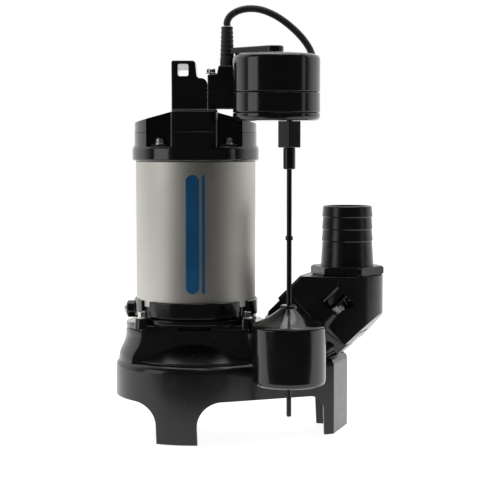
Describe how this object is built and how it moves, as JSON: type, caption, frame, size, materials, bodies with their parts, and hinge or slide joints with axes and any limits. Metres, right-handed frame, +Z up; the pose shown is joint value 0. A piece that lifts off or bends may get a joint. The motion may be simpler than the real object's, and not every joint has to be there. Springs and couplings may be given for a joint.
{
  "type": "submersible sump pump",
  "caption": "Submersible sump pump with a stainless motor shell, black volute base on legs, angled discharge with hose tail, and a rod-guided float switch.",
  "frame": {"origin": "middle of the bounding box on the floor that the legs stand on, measured without the lead", "axes": "+Z up along the motor shaft, +X towards the discharge side, +Y to the back; the float switch is at the front"},
  "size_m": [0.2682, 0.2069, 0.4224],
  "materials": {
    "cast_housing": "satin black moulded casting, fine texture",
    "gloss_housing": "glossy black moulding",
    "black_plastic": "semi-gloss black plastic",
    "black_rubber": "dark grey rubber",
    "gasket_fibre": "brown fibre-rubber gasket",
    "stainless_shell": "stainless steel brushed around the shell",
    "bright_zinc": "bright plated fasteners",
    "motor_steel": "machined and laminated steel",
    "copper_wire": "enamelled copper winding",
    "seal_ceramic": "ceramic and terminal moulding",
    "capacitor_case": "grey capacitor case"
  },
  "bodies": {
    "pump": {"pump_base": "cast_housing", "discharge_elbow": "cast_housing", "motor_bracket": "gloss_housing", "top_cover": "gloss_housing", "switch_cover": "gloss_housing", "switch_body": "gloss_housing", "switch_base": "gloss_housing", "rod_guide": "gloss_housing", "suction_ring": "black_plastic", "hose_tail": "black_plastic", "cable_gland": "black_plastic", "switch_bracket": "black_plastic", "guide_bush": "black_plastic", "microswitch": "black_plastic", "strain_relief": "black_rubber", "switch_gland": "black_rubber", "switch_lead": "black_rubber", "lower_o_ring": "black_rubber", "upper_o_ring": "black_rubber", "elbow_gasket": "gasket_fibre", "motor_shell": "stainless_shell", "base_bolt_1": "bright_zinc", "base_bolt_2": "bright_zinc", "base_bolt_3": "bright_zinc", "base_bolt_4": "bright_zinc", "cover_bolt_1": "bright_zinc", "cover_bolt_2": "bright_zinc", "cover_bolt_3": "bright_zinc", "cover_bolt_4": "bright_zinc", "elbow_bolt_1": "bright_zinc", "elbow_bolt_2": "bright_zinc", "oil_plug": "bright_zinc", "gland_screw": "bright_zinc", "bracket_screw_1": "bright_zinc", "bracket_screw_2": "bright_zinc", "lever_pin": "bright_zinc", "stator_core": "motor_steel", "lower_bearing": "motor_steel", "upper_bearing": "motor_steel", "bearing_plate": "motor_steel", "lower_winding": "copper_wire", "upper_winding": "copper_wire", "seal_seat": "seal_ceramic", "terminal_block": "seal_ceramic", "capacitor": "capacitor_case"},
    "rotor": {"motor_shaft": "motor_steel", "rotor_core": "motor_steel", "impeller": "black_plastic", "impeller_nut": "bright_zinc", "seal_ring": "black_rubber"},
    "rod": {"float_rod": "stainless_shell", "rod_collar": "bright_zinc", "upper_stop": "black_plastic", "lower_stop": "black_plastic"},
    "float": {"float_body": "gloss_housing", "float_cap": "gloss_housing"},
    "lever": {"switch_lever": "stainless_shell"}
  },
  "joints": [
    {"name": "rotor_spin", "type": "hinge", "parent": "pump", "child": "rotor", "pos_m": [-0.0542, 0.0236, 0.15], "axis": [0, 0, 1], "continuous": true},
    {"name": "rod_lift", "type": "slide", "parent": "pump", "child": "rod", "axis": [0, 0, 1], "range_m": [0, 0.008]},
    {"name": "float_slide", "type": "slide", "parent": "rod", "child": "float", "axis": [0, 0, 1], "range_m": [0, 0.061]},
    {"name": "lever_tilt", "type": "hinge", "parent": "pump", "child": "lever", "pos_m": [0.0088, -0.0624, 0.334], "axis": [0, -1, 0], "range_deg": [0, 16]}
  ],
  "couplings": [
    {"joint": "lever_tilt", "follows": "rod_lift", "rad_per_m": 34}
  ]
}
